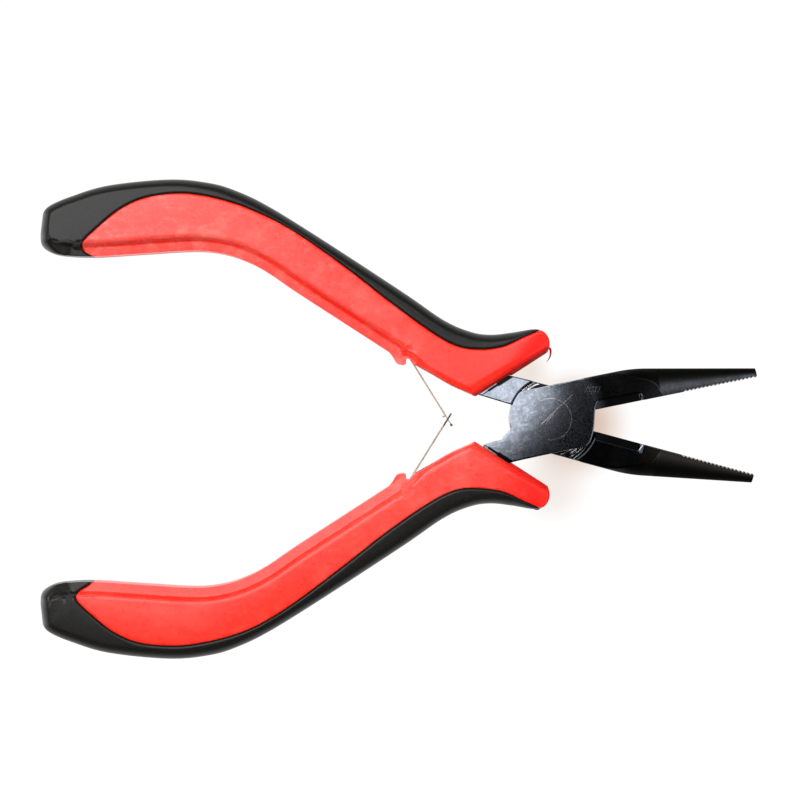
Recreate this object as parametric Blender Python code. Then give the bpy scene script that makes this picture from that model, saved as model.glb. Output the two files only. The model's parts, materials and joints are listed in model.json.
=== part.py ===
"""Small spring-return pliers: two forged halves on a riveted lap joint, two-shot grips, two leaf springs.

The lengths below are in millimetres, and MM turns them into metres when a mesh or an empty is made.
Each half is drawn in its own closed frame: the joint axis is the origin, the jaws point along +X, the
handle lies at +Y and the jaw at -Y, and Z = 0 is the middle of the joint. The other half is the same
shape turned over about X. Both halves are then swung open about the joint axis.
"""
import math

import bmesh
import bpy
from mathutils import Matrix, Vector

MM = 0.001

# Where the joint axis stands in the part's frame, and how far each half is swung open at rest.
JOINT_X = 26.394
MIDDLE_HEIGHT = 5.5
HALF_OPENING = math.radians(13.2)
JAW_SET = math.radians(1.8)          # the line that the jaws close on is turned clockwise by this
PRESS_GAP = 0.3                      # gap between pieces that are fixed together

# Cutting tools.
STAND_PROUD = 1.0                    # how far a tool reaches past the face that it cuts
SQUARE_STEP = 0.001                  # height over which a turned profile steps square
TOOL_HALF_HEIGHT = 10.0              # tall enough to go right through the grip

# Joint.
JOINT_HALF_THICKNESS = 3.9
LAP_GAP = 0.3
PLATE_TANG_RADIUS = 7.1
PLATE_JAW_RADIUS = 8.0
TANG_SHOULDER_RADIUS = 7.5
JAW_SHOULDER_RADIUS = 8.3
RIVET_HEAD_RADIUS = 3.45
RIVET_HEAD_THICKNESS = 1.0
RIVET_SHANK_RADIUS = 2.0
RIVET_HEAD_SINK = 0.05               # the heads lie this much below the plates' faces
RIVET_STEPS = 40
LAP_STEPS = 24
PLATE_JAW_EDGE = [(8.6, -5.8), (8.6, -1.5), (7.9, -0.3), (7.84, 0.0)]
PLATE_JAW_ARC = (23, 36, 3)          # start and end in degrees, and steps
PLATE_JAW_CORNER = (5.1, 5.8)
PLATE_TANG_ARC = (173, 231, 8)
PLATE_TANG_CORNER = (-4.0, -5.8)
BAR_OUTER = [(-6.5, 5.75), (-13.2, 5.75)]
BAR_INNER = {"upper": [(-13.2, 1.1), (-9.0, 1.1)], "lower": [(-13.2, 1.7), (-9.0, 1.7)]}

# Jaw, by its distance from the line that the jaws close on.
JAW_TIP_X = 36.8
JAW_TAPER_START_X = 15.5
JAW_ROOT_DEPTH = 5.85
JAW_TIP_DEPTH = 1.6
JAW_TIP_HALF_THICKNESS = 1.5
FLAT_END_X = 19.7                    # the flats milled on the joint run out here into the rounded nose
FLAT_RUNOUT_START_X = 11.0
CUTTER_END_X = 16.0
CUTTER_BEVEL = 1.4
TEETH_START_X = 23.6
TOOTH_PITCH = 0.715
TOOTH_COUNT = 18
TOOTH_DEPTH = 0.32
CLOSED_JAW_GAP = 0.05
BACK_MARGIN = 0.15                   # the milled flats stop this far short of the back
BACK_STEPS = 5
LEAST_FLAT = 0.02
LIP = 0.01
JAW_ROOT_STATIONS = [7.0, 9.0, 11.0, 12.5, 14.0, 15.2, 15.99, 16.3, 17.2, 18.2, 19.0, 19.5, 20.6]

# Grip outline, from the front corner and the horn back to the tail.
GRIP_HALF_THICKNESS = 5.5
INNER_FRONT = [(-13.4, 0.95), (-18.0, 1.75), (-21.5, 2.8), (-24.8, 3.75)]
NUB = [(-26.2, 3.85), (-27.2, 3.4), (-28.2, 3.3), (-29.0, 4.1)]
INNER_REAR = [(-30.0, 4.9), (-36.0, 7.1), (-48.0, 11.4), (-54.0, 13.7), (-58.0, 14.7), (-62.0, 15.0),
              (-67.0, 14.35), (-76.0, 11.7), (-84.0, 9.3), (-89.5, 8.3), (-91.7, 8.45), (-93.1, 9.2)]
OUTER = [(-3.4, 11.3), (-3.15, 12.4), (-3.6, 13.6), (-4.7, 14.5), (-6.5, 14.5), (-10.0, 13.1),
         (-13.5, 11.9), (-17.0, 11.6), (-22.0, 12.5), (-30.0, 15.6), (-46.0, 21.4), (-56.0, 24.75),
         (-62.0, 26.1), (-67.0, 26.4), (-74.0, 25.4), (-84.0, 22.0), (-90.0, 18.6), (-93.2, 16.2)]
TAIL_TIP = [(-93.75, 10.6), (-94.2, 14.4)]
LEDGE_WIDTH = 1.4
LEDGE_HALF_THICKNESS = 3.2
FILLET_WIDTH = 1.1
OUTER_ROUND = 4.4
TAIL_ROUND = 3.6
FRONT_ROUND = 1.0
FRONT_DROP = 0.7
RIM_HALF_THICKNESS = 0.4
SKEW_ALLOWANCE = 0.7                 # ribs near the front cross askew, so the flat starts later
NARROWEST_FLAT = 0.6
FILLET_RIB = 0.4                     # a rib's point part way up the fillet
ROUND_RIBS = [2.7, 1.4, 0.55, 0.0]   # a rib's points down the outer round, by distance from the edge
INNER_FRONT_STEPS = 8
INNER_REAR_STEPS = 26
OUTER_STEPS = 80

# Seam between the red body and the black overmould, from outside the horn to inside the tail.
SEAM = [(-3.8, 16.4), (-5.4, 14.6), (-8.0, 12.6), (-11.0, 10.3), (-15.0, 8.8), (-19.0, 8.4), (-24.0, 9.7),
        (-32.0, 12.95), (-40.0, 16.65), (-48.0, 20.1), (-54.0, 22.25), (-60.0, 23.6), (-66.0, 23.95),
        (-72.0, 23.4), (-78.0, 21.5), (-82.0, 18.7), (-85.0, 15.0), (-87.0, 11.9), (-86.6, 10.5),
        (-84.6, 9.75), (-82.6, 8.2)]
SEAM_STEPS = 70
SEAM_OUTSIDE = [(-80.0, -4.0), (-110.0, -4.0), (-110.0, 40.0), (2.0, 40.0), (2.0, 18.0)]
SEAM_DRIFT = 0.5                     # the two overmoulds don't run out alike: this much either way
SEAM_DRIFT_CENTRE_X = -36.0
SEAM_DRIFT_REACH = 22.0

# Tang: x, y, width and half thickness, from the bar behind the joint to its end deep in the grip.
TANG = [(-12.5, 3.5, 4.5, 3.6), (-17.5, 4.75, 2.6, 2.4), (-22.0, 6.35, 2.4, 2.4), (-27.5, 8.35, 2.4, 2.4),
        (-36.0, 10.9, 2.6, 2.4), (-46.0, 14.8, 3.0, 2.4), (-55.0, 18.0, 3.2, 2.4), (-62.0, 19.3, 3.2, 2.4),
        (-68.0, 19.1, 3.0, 2.4), (-74.0, 17.9, 2.6, 2.2)]
TANG_MOUTH = [(-2.0, 3.35, 4.9, 3.9), (-13.5, 3.5, 4.6, 3.9)]

# Leaf springs: each rolled root sits in a socket of its grip body, and the leaves hook together halfway.
LEAF_ROOT = (-26.94, 5.44)
LEAF_ANGLE = math.radians(-44.9)     # at rest, in the handle's closed frame
LEAF_SWING = math.radians(21.65)
LEAF_CROSSING = 13.49                # from the root to where the leaves cross
LEAF_THICKNESS = 0.35
LEAF_HALF_WIDTH = 2.2
LEAF_ROOT_RADIUS = 0.45
LEAF_ROOT_STEPS = 16
LEAF_CLEARANCE = 0.3
SOCKET_RADIUS = 0.75
POCKET_HALF_HEIGHT = 2.6
POCKET_LOW_REACH = 3.2               # how far the pocket follows the leaf opened, and folded
POCKET_HIGH_REACH = 12.4
POCKET_MOUTH = (-15.0, 0.0)
LEAF_NOTCH = [(-26.35, 3.0), (-26.85, 4.55), (-26.45, 4.75), (-25.55, 3.95), (-25.3, 3.0)]
NECK_HALF_WIDTH = 0.8
NECK_START = -0.85                   # the next five are measured along the leaf from the crossing
HEAD_START = 1.0
HEAD_END = 1.45
SLOT_START = -0.95
SLOT_END = 0.85
SLOTTED_END = 1.2
HEAD_HALF_WIDTH = 1.6
SLOT_HALF_WIDTH = 1.1
SLOT_TOOL_REACH = 1.0

BLACKENED_STEEL = ("blackened_steel", (0.055, 0.06, 0.07, 1), 0.38, 0.9)
RIVET_STEEL = ("rivet_steel", (0.07, 0.075, 0.09, 1), 0.35, 0.9)
RED_PLASTIC = ("red_plastic", (0.85, 0.06, 0.045, 1), 0.5, 0.0)
BLACK_RUBBER = ("black_rubber", (0.03, 0.031, 0.033, 1), 0.62, 0.0)
SPRING_STEEL = ("spring_steel", (0.42, 0.35, 0.29, 1), 0.35, 0.9)


# ---------------------------------------------------------------- plane curves

def turned(point, angle):
    """A plane point turned about the origin."""
    x, y = point
    return (x * math.cos(angle) - y * math.sin(angle), x * math.sin(angle) + y * math.cos(angle))


def arc(radius, start, end, steps):
    """Points along an arc about the origin, angles in degrees."""
    angles = [math.radians(start + (end - start) * i / steps) for i in range(steps + 1)]
    return [(radius * math.cos(a), radius * math.sin(a)) for a in angles]


def smooth_curve(points, count):
    """Evenly spaced points along a Catmull-Rom curve through the given points."""
    knots = [Vector(p) for p in points]
    knots.insert(0, 2 * knots[0] - knots[1])
    knots.append(2 * knots[-1] - knots[-2])
    fine = []
    for i in range(1, len(knots) - 2):
        a, b, c, d = knots[i - 1:i + 3]
        for step in range(16):
            t = step / 16
            fine.append(0.5 * (2 * b + (c - a) * t + (2 * a - 5 * b + 4 * c - d) * t ** 2
                               + (3 * b - a - 3 * c + d) * t ** 3))
    fine.append(knots[-2])
    return [point_along(fine, i / (count - 1)) for i in range(count)]


def point_along(line, fraction):
    """The point at a fraction of a polyline's length."""
    spans = [(line[i + 1] - line[i]).length for i in range(len(line) - 1)]
    left = fraction * sum(spans)
    for i, span in enumerate(spans):
        if left <= span or i == len(spans) - 1:
            return line[i].lerp(line[i + 1], min(left / span, 1.0))
        left -= span


def distance_to(line, point):
    """The shortest distance from a point to a polyline."""
    best = math.inf
    for a, b in zip(line, line[1:]):
        along = max(0.0, min(1.0, (point - a).dot(b - a) / (b - a).length_squared))
        best = min(best, (point - a.lerp(b, along)).length)
    return best


def moved_sideways(line, offset):
    """A polyline moved to its left by an offset."""
    moved = []
    for i, point in enumerate(line):
        along = (line[min(i + 1, len(line) - 1)] - line[max(i - 1, 0)]).normalized()
        moved.append(point + offset * Vector((-along.y, along.x)))
    return moved


# ---------------------------------------------------------------- solids

def material(finish):
    """The Principled material of a finish, made once."""
    name, colour, roughness, metallic = finish
    found = bpy.data.materials.get(name)
    if found:
        return found
    made = bpy.data.materials.new(name)
    made.use_nodes = True
    shader = made.node_tree.nodes["Principled BSDF"]
    shader.inputs["Base Color"].default_value = colour
    shader.inputs["Roughness"].default_value = roughness
    shader.inputs["Metallic"].default_value = metallic
    made.diffuse_color = colour
    return made


def solid(name, points, faces, finish=None):
    """A closed mesh object from points in millimetres, its faces turned outwards."""
    mesh = bpy.data.meshes.new(name)
    mesh.from_pydata([Vector(p) * MM for p in points], [], faces)
    shape = bmesh.new()
    shape.from_mesh(mesh)
    bmesh.ops.recalc_face_normals(shape, faces=shape.faces)
    shape.to_mesh(mesh)
    shape.free()
    made = bpy.data.objects.new(name, mesh)
    bpy.context.scene.collection.objects.link(made)
    if finish:
        mesh.materials.append(material(finish))
        mesh.shade_smooth()
        mesh.set_sharp_from_angle(angle=math.radians(35))
    else:
        made.hide_render = True
        made.display_type = 'WIRE'
    return made


def loft(name, rings, finish=None):
    """A solid through rings of equally many 3-D points, with flat ends."""
    count = len(rings[0])
    points = [point for ring in rings for point in ring]
    faces = [list(range(count)), list(range(len(points) - count, len(points)))]
    for r in range(len(rings) - 1):
        for i in range(count):
            j = (i + 1) % count
            faces.append([r * count + i, r * count + j, (r + 1) * count + j, (r + 1) * count + i])
    return solid(name, points, faces, finish)


def prism(name, outline, low, high, finish=None):
    """A plane outline raised from one height to another."""
    return loft(name, [[(x, y, z) for x, y in outline] for z in (low, high)], finish)


def turned_solid(name, profile, centre=(0.0, 0.0), steps=32, finish=None):
    """A solid turned about a vertical axis; the profile is (radius, height) from bottom to top."""
    rings = []
    for radius, height in profile:
        circle = arc(radius, 0, 360 - 360 / steps, steps - 1)
        rings.append([(centre[0] + x, centre[1] + y, height) for x, y in circle])
    return loft(name, rings, finish)


def combine(target, operation, *tools):
    """Adds Boolean modifiers, one for each tool."""
    for tool in tools:
        step = target.modifiers.new(tool.name, 'BOOLEAN')
        step.operation = operation
        step.object = tool
    return target


# ---------------------------------------------------------------- forged half

def jaw_depth(x):
    """How far the jaw's back stands from the closing line."""
    along = max(0.0, (x - JAW_TAPER_START_X) / (JAW_TIP_X - JAW_TAPER_START_X))
    return JAW_ROOT_DEPTH + (JAW_TIP_DEPTH - JAW_ROOT_DEPTH) * along


def jaw_ring(x, inner):
    """The jaw's cross-section: flat or V-shaped inside, milled flats above and below, a rounded back."""
    depth = jaw_depth(x)
    if x < FLAT_END_X:
        along = max(0.0, (x - FLAT_RUNOUT_START_X) / (FLAT_END_X - FLAT_RUNOUT_START_X))
        ridge = (depth - BACK_MARGIN) * math.sqrt(max(0.0, 1 - along ** 2))
        top = JOINT_HALF_THICKNESS
    else:
        along = (x - FLAT_END_X) / (JAW_TIP_X - FLAT_END_X)
        ridge = 0.0
        top = JOINT_HALF_THICKNESS + (JAW_TIP_HALF_THICKNESS - JOINT_HALF_THICKNESS) * along
    bevel = CUTTER_BEVEL if x < CUTTER_END_X else 0.0
    corner = max(inner + bevel, 0.0)
    shoulder = max(ridge, corner + LEAST_FLAT)
    start = math.acos(min(1.0, shoulder / depth))
    height = top / math.sin(start)
    back = []
    for i in range(BACK_STEPS):
        angle = start * (1 - (i + 1) / BACK_STEPS)
        back.append((depth * math.cos(angle), height * math.sin(angle)))
    upper = [(corner, top), (shoulder + LIP, top)] + back
    lower = [(d, -z) for d, z in reversed(upper[:-1])]
    section = [(inner, 0.0)] + upper + lower
    return [(x, -d, z) for d, z in section]


def jaw(name):
    """The jaw, from inside the joint to its tip, with its cutter and teeth."""
    rings = [jaw_ring(x, CLOSED_JAW_GAP) for x in JAW_ROOT_STATIONS]
    for tooth in range(TOOTH_COUNT):
        x = TEETH_START_X + tooth * TOOTH_PITCH
        rings.append(jaw_ring(x - TOOTH_PITCH / 2, CLOSED_JAW_GAP + TOOTH_DEPTH * (tooth > 0)))
        rings.append(jaw_ring(x, CLOSED_JAW_GAP))
    rings.append(jaw_ring(JAW_TIP_X, CLOSED_JAW_GAP))
    return loft(name, rings)


def plate_outline(side, jaw_set):
    """The joint plate with its jaw root and the start of its tang."""
    jaw_side = PLATE_JAW_EDGE + arc(PLATE_JAW_RADIUS, *PLATE_JAW_ARC) + [PLATE_JAW_CORNER]
    tang_side = arc(PLATE_TANG_RADIUS, *PLATE_TANG_ARC) + [PLATE_TANG_CORNER]
    bar = BAR_OUTER + BAR_INNER[side]
    return [turned(p, jaw_set) for p in jaw_side] + bar + [turned(p, jaw_set) for p in tang_side]


def tang_rings(stations, margin):
    """Rectangles along the tang, larger all round by a margin."""
    rings = []
    for i, (x, y, width, half) in enumerate(stations):
        before = Vector(stations[max(i - 1, 0)][:2])
        after = Vector(stations[min(i + 1, len(stations) - 1)][:2])
        along = (after - before).normalized()
        side = Vector((-along.y, along.x)) * (width / 2 + margin)
        if i == len(stations) - 1:
            x, y = Vector((x, y)) + along * margin
        high = half + margin
        rings.append([(x + side.x, y + side.y, -high), (x + side.x, y + side.y, high),
                      (x - side.x, y - side.y, high), (x - side.x, y - side.y, -high)])
    return rings


def lap_cutter(name):
    """What the other half's plate turns in: everything above the lap face, round the joint axis."""
    outline = arc(JAW_SHOULDER_RADIUS, -90, 90, LAP_STEPS) + arc(TANG_SHOULDER_RADIUS, 90, 270, LAP_STEPS)
    return prism(name, outline, -LAP_GAP / 2, JOINT_HALF_THICKNESS + STAND_PROUD)


def rivet_hole(name):
    """The hole for the rivet, with the counterbore for its head in the plate's outer face."""
    head = RIVET_HEAD_RADIUS + PRESS_GAP
    shank = RIVET_SHANK_RADIUS + PRESS_GAP
    floor = -JOINT_HALF_THICKNESS + RIVET_HEAD_SINK + RIVET_HEAD_THICKNESS + PRESS_GAP
    profile = [(head, -JOINT_HALF_THICKNESS - STAND_PROUD), (head, floor), (shank, floor + SQUARE_STEP),
               (shank, JOINT_HALF_THICKNESS)]
    return turned_solid(name, profile)


def forging(name, side, jaw_set):
    """One forged half: plate, jaw and tang in one piece of steel."""
    plate = plate_outline(side, jaw_set)
    half = prism(name, plate, -JOINT_HALF_THICKNESS, JOINT_HALF_THICKNESS, BLACKENED_STEEL)
    nose = jaw(name + "_jaw_tool")
    nose.rotation_euler.z = jaw_set
    tang = loft(name + "_tang_tool", tang_rings(TANG, 0.0))
    combine(half, 'UNION', nose, tang)
    lap, hole = lap_cutter(name + "_lap_tool"), rivet_hole(name + "_hole_tool")
    combine(half, 'DIFFERENCE', lap, hole)
    return half, [nose, tang, lap, hole]


def rivet(name):
    """The joint rivet with a flush head on each side."""
    top = JOINT_HALF_THICKNESS - RIVET_HEAD_SINK
    under = top - RIVET_HEAD_THICKNESS
    below = [(RIVET_HEAD_RADIUS, -top), (RIVET_HEAD_RADIUS, -under),
             (RIVET_SHANK_RADIUS, -under + SQUARE_STEP)]
    above = [(radius, -height) for radius, height in reversed(below)]
    return turned_solid(name, below + above, steps=RIVET_STEPS, finish=RIVET_STEEL)


# ---------------------------------------------------------------- grip

def rounded_rise(distance, reach, low, high):
    """Height of a quarter-round edge at a distance in from it."""
    along = max(0.0, min(1.0, distance / reach))
    return low + (high - low) * math.sqrt(1 - (1 - along) ** 2)


def grip_height(point, edges):
    """Half thickness of the grip over a plane point: the lowest of the rises from its edges."""
    inner_front, inner_rear, outer, tail, front = edges
    top = GRIP_HALF_THICKNESS
    behind_ledge = distance_to(inner_rear, point) - LEDGE_WIDTH
    return min(rounded_rise(distance_to(inner_front, point), FILLET_WIDTH, LEDGE_HALF_THICKNESS, top),
               rounded_rise(behind_ledge, FILLET_WIDTH, LEDGE_HALF_THICKNESS, top),
               rounded_rise(distance_to(outer, point), OUTER_ROUND, RIM_HALF_THICKNESS, top),
               rounded_rise(distance_to(tail, point), TAIL_ROUND, RIM_HALF_THICKNESS, top),
               rounded_rise(distance_to(front, point), FRONT_ROUND, top - FRONT_DROP, top))


def grip_blank(name, finish):
    """The whole grip before it is divided: ribs from the inner to the outer edge, front to tail."""
    inner_front = smooth_curve(INNER_FRONT, INNER_FRONT_STEPS)
    nub = [Vector(p) for p in NUB]
    inner_rear = smooth_curve(INNER_REAR, INNER_REAR_STEPS)
    inner = inner_front + nub + inner_rear
    outer = smooth_curve(OUTER, OUTER_STEPS)
    lengths = [0.0]
    for a, b in zip(inner, inner[1:]):
        lengths.append(lengths[-1] + (b - a).length)
    ribs = [(p, point_along(outer, length / lengths[-1])) for p, length in zip(inner, lengths)]
    tail_low, tail_high = (Vector(p) for p in TAIL_TIP)
    ribs.append((tail_low, tail_high))
    edges = (inner_front, nub + inner_rear, outer, [inner[-1], tail_low, tail_high, outer[-1]],
             [inner[0], outer[0]])
    flat_start = LEDGE_WIDTH + FILLET_WIDTH + SKEW_ALLOWANCE
    from_inner = [0.0, LEDGE_WIDTH, LEDGE_WIDTH + FILLET_RIB, flat_start]
    from_outer = [OUTER_ROUND + SKEW_ALLOWANCE] + ROUND_RIBS
    columns = len(from_inner) + len(from_outer)
    upper = []
    for p, q in ribs:
        width = (q - p).length
        squeeze = min(1.0, width / (from_inner[-1] + from_outer[0] + NARROWEST_FLAT))
        shares = [d * squeeze / width for d in from_inner] + [1 - d * squeeze / width for d in from_outer]
        for share in shares:
            spot = p.lerp(q, share)
            upper.append((spot.x, spot.y, grip_height(spot, edges)))
    points = upper + [(x, y, -z) for x, y, z in upper]
    below, faces = len(upper), []
    for r in range(len(ribs) - 1):
        for c in range(columns - 1):
            a, b = r * columns + c, (r + 1) * columns + c
            faces.append([a, a + 1, b + 1, b])
            faces.append([below + a, below + b, below + b + 1, below + a + 1])
        for c in (0, columns - 1):
            a, b = r * columns + c, (r + 1) * columns + c
            faces.append([a, b, below + b, below + a])
    for r in (0, len(ribs) - 1):
        row = list(range(r * columns, (r + 1) * columns))
        faces.append(row + [below + i for i in reversed(row)])
    return solid(name, points, faces, finish)


def overmould_zone(name, drift, side_gap):
    """Everything on the black side of the seam, as a tall prism."""
    seam = smooth_curve(SEAM, SEAM_STEPS)
    for point in seam:
        reach = min(1.0, abs(point.x - SEAM_DRIFT_CENTRE_X) / SEAM_DRIFT_REACH)
        point.y += drift * (1 - reach ** 2)
    seam = moved_sideways(seam, -side_gap)
    return prism(name, [tuple(p) for p in seam] + SEAM_OUTSIDE, -TOOL_HALF_HEIGHT, TOOL_HALF_HEIGHT)


def leaf_pocket(name):
    """The room that the leaf swings in, cut from the grip's inner edge."""
    root = Vector(LEAF_ROOT)
    clear = LEAF_THICKNESS / 2 + LEAF_CLEARANCE
    opened = Vector((math.cos(LEAF_ANGLE), math.sin(LEAF_ANGLE)))
    folded = Vector((math.cos(LEAF_ANGLE + LEAF_SWING), math.sin(LEAF_ANGLE + LEAF_SWING)))
    low = root + clear * Vector((opened.y, -opened.x))
    high = root + clear * Vector((-folded.y, folded.x))
    near = low + POCKET_LOW_REACH * opened
    far = high + POCKET_HIGH_REACH * folded
    outline = [low, near, Vector(POCKET_MOUTH), far, high]
    return prism(name, [tuple(p) for p in outline], -POCKET_HALF_HEIGHT, POCKET_HALF_HEIGHT)


def leaf_notch(name):
    """The notch beside the nub, right through the grip's inner edge."""
    return prism(name, LEAF_NOTCH, -TOOL_HALF_HEIGHT, TOOL_HALF_HEIGHT)


def grip(name, drift):
    """The red body with its sockets and the black overmould beside it."""
    body = grip_blank(name + "_grip_body", RED_PLASTIC)
    socket = [(SOCKET_RADIUS, -POCKET_HALF_HEIGHT), (SOCKET_RADIUS, POCKET_HALF_HEIGHT)]
    tools = [overmould_zone(name + "_body_seam_tool", drift, -PRESS_GAP / 2),
             loft(name + "_tang_room_tool", tang_rings(TANG_MOUTH + TANG[1:], PRESS_GAP)),
             turned_solid(name + "_socket_tool", socket, LEAF_ROOT, LEAF_ROOT_STEPS),
             leaf_pocket(name + "_pocket_tool"),
             leaf_notch(name + "_notch_tool")]
    combine(body, 'DIFFERENCE', *tools)
    cover = grip_blank(name + "_grip_overmould", BLACK_RUBBER)
    zone = overmould_zone(name + "_cover_seam_tool", drift, PRESS_GAP / 2)
    combine(cover, 'INTERSECT', zone)
    return [body, cover] + tools + [zone]


# ---------------------------------------------------------------- leaf springs

def flat_blade(name, outline, finish=None):
    """A flat strip lying along +X on edge: the outline is (distance along, height)."""
    half = LEAF_THICKNESS / 2
    return loft(name, [[(s, y, z) for s, z in outline] for y in (-half, half)], finish)


def rolled_root(name):
    """The rolled end that the leaf turns on."""
    profile = [(LEAF_ROOT_RADIUS, -LEAF_HALF_WIDTH), (LEAF_ROOT_RADIUS, LEAF_HALF_WIDTH)]
    return turned_solid(name, profile, steps=LEAF_ROOT_STEPS)


def tongue_leaf(name):
    """The leaf that ends in a narrow neck and a wider head."""
    neck, head_start, head_end = (LEAF_CROSSING + d for d in (NECK_START, HEAD_START, HEAD_END))
    upper = [(0.0, LEAF_HALF_WIDTH), (neck, LEAF_HALF_WIDTH), (neck, NECK_HALF_WIDTH),
             (head_start, NECK_HALF_WIDTH), (head_start, HEAD_HALF_WIDTH), (head_end, HEAD_HALF_WIDTH)]
    outline = upper + [(s, -z) for s, z in reversed(upper)]
    return flat_blade(name, outline, SPRING_STEEL), [rolled_root(name + "_root_tool")]


def slotted_leaf(name):
    """The leaf with the slot that the other leaf's neck passes through."""
    end, wide = LEAF_CROSSING + SLOTTED_END, LEAF_HALF_WIDTH
    leaf = flat_blade(name, [(0.0, -wide), (0.0, wide), (end, wide), (end, -wide)], SPRING_STEEL)
    start, stop = LEAF_CROSSING + SLOT_START, LEAF_CROSSING + SLOT_END
    reach = SLOT_TOOL_REACH
    outline = [(start, -reach), (start, reach), (stop, reach), (stop, -reach)]
    slot = prism(name + "_slot_tool", outline, -SLOT_HALF_WIDTH, SLOT_HALF_WIDTH)
    combine(leaf, 'DIFFERENCE', slot)
    return leaf, [rolled_root(name + "_root_tool"), slot]


# ---------------------------------------------------------------- assembly

def empty(name, parent=None, matrix=None):
    """An empty that carries the pieces turning about one axis."""
    made = bpy.data.objects.new(name, None)
    bpy.context.scene.collection.objects.link(made)
    made.parent = parent
    made.matrix_local = matrix or Matrix.Identity(4)
    return made


def carry(parent, pieces):
    for piece in pieces:
        piece.parent = parent


def build_half(side, frame, forging_name, jaw_set, drift, make_leaf):
    """One half: forging, grip and leaf spring, carried by the half's own frame."""
    half, half_tools = forging(forging_name, side, jaw_set)
    carry(frame, [half] + half_tools)
    carry(frame, grip(side, drift))
    root = Matrix.Translation((LEAF_ROOT[0] * MM, LEAF_ROOT[1] * MM, 0))
    axis = empty(side + "_leaf_axis", frame, root @ Matrix.Rotation(LEAF_ANGLE, 4, 'Z'))
    leaf, leaf_tools = make_leaf(side + "_spring_leaf")
    combine(leaf, 'UNION', leaf_tools[0])
    carry(axis, [leaf] + leaf_tools)


def build():
    for old in list(bpy.data.objects):
        bpy.data.objects.remove(old)
    joint = Matrix.Translation((JOINT_X * MM, 0, MIDDLE_HEIGHT * MM))
    upper = empty("upper_handle_axis", matrix=joint @ Matrix.Rotation(-HALF_OPENING, 4, 'Z'))
    turned_over = Matrix.Rotation(HALF_OPENING, 4, 'Z') @ Matrix.Rotation(math.pi, 4, 'X')
    lower = empty("lower_handle_axis", matrix=joint @ turned_over)
    build_half("upper", upper, "jaw_half_bottom", -JAW_SET, SEAM_DRIFT, tongue_leaf)
    build_half("lower", lower, "jaw_half_top", JAW_SET, -SEAM_DRIFT, slotted_leaf)
    carry(lower, [rivet("joint_rivet")])


build()
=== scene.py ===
"""The looks of the small spring-return pliers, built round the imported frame.

Each half is drawn in its own closed frame, in millimetres: the joint axis is the origin, the jaws point
along +X, the handle lies at +Y and the jaw at -Y, and Z = 0 is the middle of the joint. The other half is
the same shape turned over about X. settle() takes a finished piece to the row frame, in metres.
"""
import json
import math

import bmesh
import bpy
import numpy as np
from mathutils import Matrix, Vector
from mathutils.geometry import delaunay_2d_cdt, intersect_line_line_2d


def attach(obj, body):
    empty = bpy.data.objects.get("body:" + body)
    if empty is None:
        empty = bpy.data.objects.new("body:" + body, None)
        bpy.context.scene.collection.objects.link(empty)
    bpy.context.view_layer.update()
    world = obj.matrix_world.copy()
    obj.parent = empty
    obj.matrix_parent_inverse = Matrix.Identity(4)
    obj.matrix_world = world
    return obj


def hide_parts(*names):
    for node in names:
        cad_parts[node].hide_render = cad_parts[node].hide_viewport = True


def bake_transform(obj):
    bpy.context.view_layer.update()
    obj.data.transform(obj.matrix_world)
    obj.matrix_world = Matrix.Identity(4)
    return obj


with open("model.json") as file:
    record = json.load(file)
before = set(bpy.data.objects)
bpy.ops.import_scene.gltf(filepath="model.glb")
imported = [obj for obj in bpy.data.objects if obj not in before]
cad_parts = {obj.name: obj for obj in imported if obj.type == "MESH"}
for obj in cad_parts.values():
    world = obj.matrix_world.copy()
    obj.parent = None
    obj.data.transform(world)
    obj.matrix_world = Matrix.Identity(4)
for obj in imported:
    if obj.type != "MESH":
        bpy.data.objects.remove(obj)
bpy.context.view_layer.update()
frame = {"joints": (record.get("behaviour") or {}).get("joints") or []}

MM = 0.001

JOINTS = {joint["name"]: joint for joint in frame["joints"]}
JOINT_AT = Vector(JOINTS["jaw_pivot"]["pos_m"]) / MM
HALF_OPENING = math.radians(JOINTS["jaw_pivot"]["range_deg"][1] / 2)
JAW_SET = math.radians(1.8)  # how far the jaws' closing line is turned from the handles' middle line
HALF_FRAME = {
    "upper": Matrix.Translation(JOINT_AT) @ Matrix.Rotation(-HALF_OPENING, 4, "Z"),
    "lower": (Matrix.Translation(JOINT_AT) @ Matrix.Rotation(HALF_OPENING, 4, "Z")
              @ Matrix.Rotation(math.pi, 4, "X")),
}

# Joint.
PLATE_HALF_WIDTH = 5.8
HALF_THICKNESS = 3.9
LAP_GAP = 0.08
PLATE_TANG_RADIUS = 7.15
PLATE_END = [(7.84, 0.0), (7.47, 1.4), (7.14, 2.66), (6.75, 3.67), (6.38, 4.5), (5.95, 5.2), (5.1, 5.8)]
TANG_SHOULDER_RADIUS = 7.27
JAW_SHOULDER_RADIUS = 8.25
RIVET_HEAD_RADIUS = 3.6
RIVET_SHANK_RADIUS = 2.0
RIVET_HEAD_THICKNESS = 1.0
DOME_RADIUS = 136.0  # the plate's faces are ground very slightly domed
DOME_REACH = 7.0
DOME_RUNOUT = 6.0
STEEL_VOXEL = 0.11  # this grid and its smoothing round the forging's edges
STEEL_SMOOTHING = 3
STEEL_TRIANGLES = 0.55  # the share of the rounded forging's triangles that is kept
RIVET_PLAY = 0.02  # between the rivet and its hole
RIVET_EDGE_ROUND = 0.012

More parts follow.
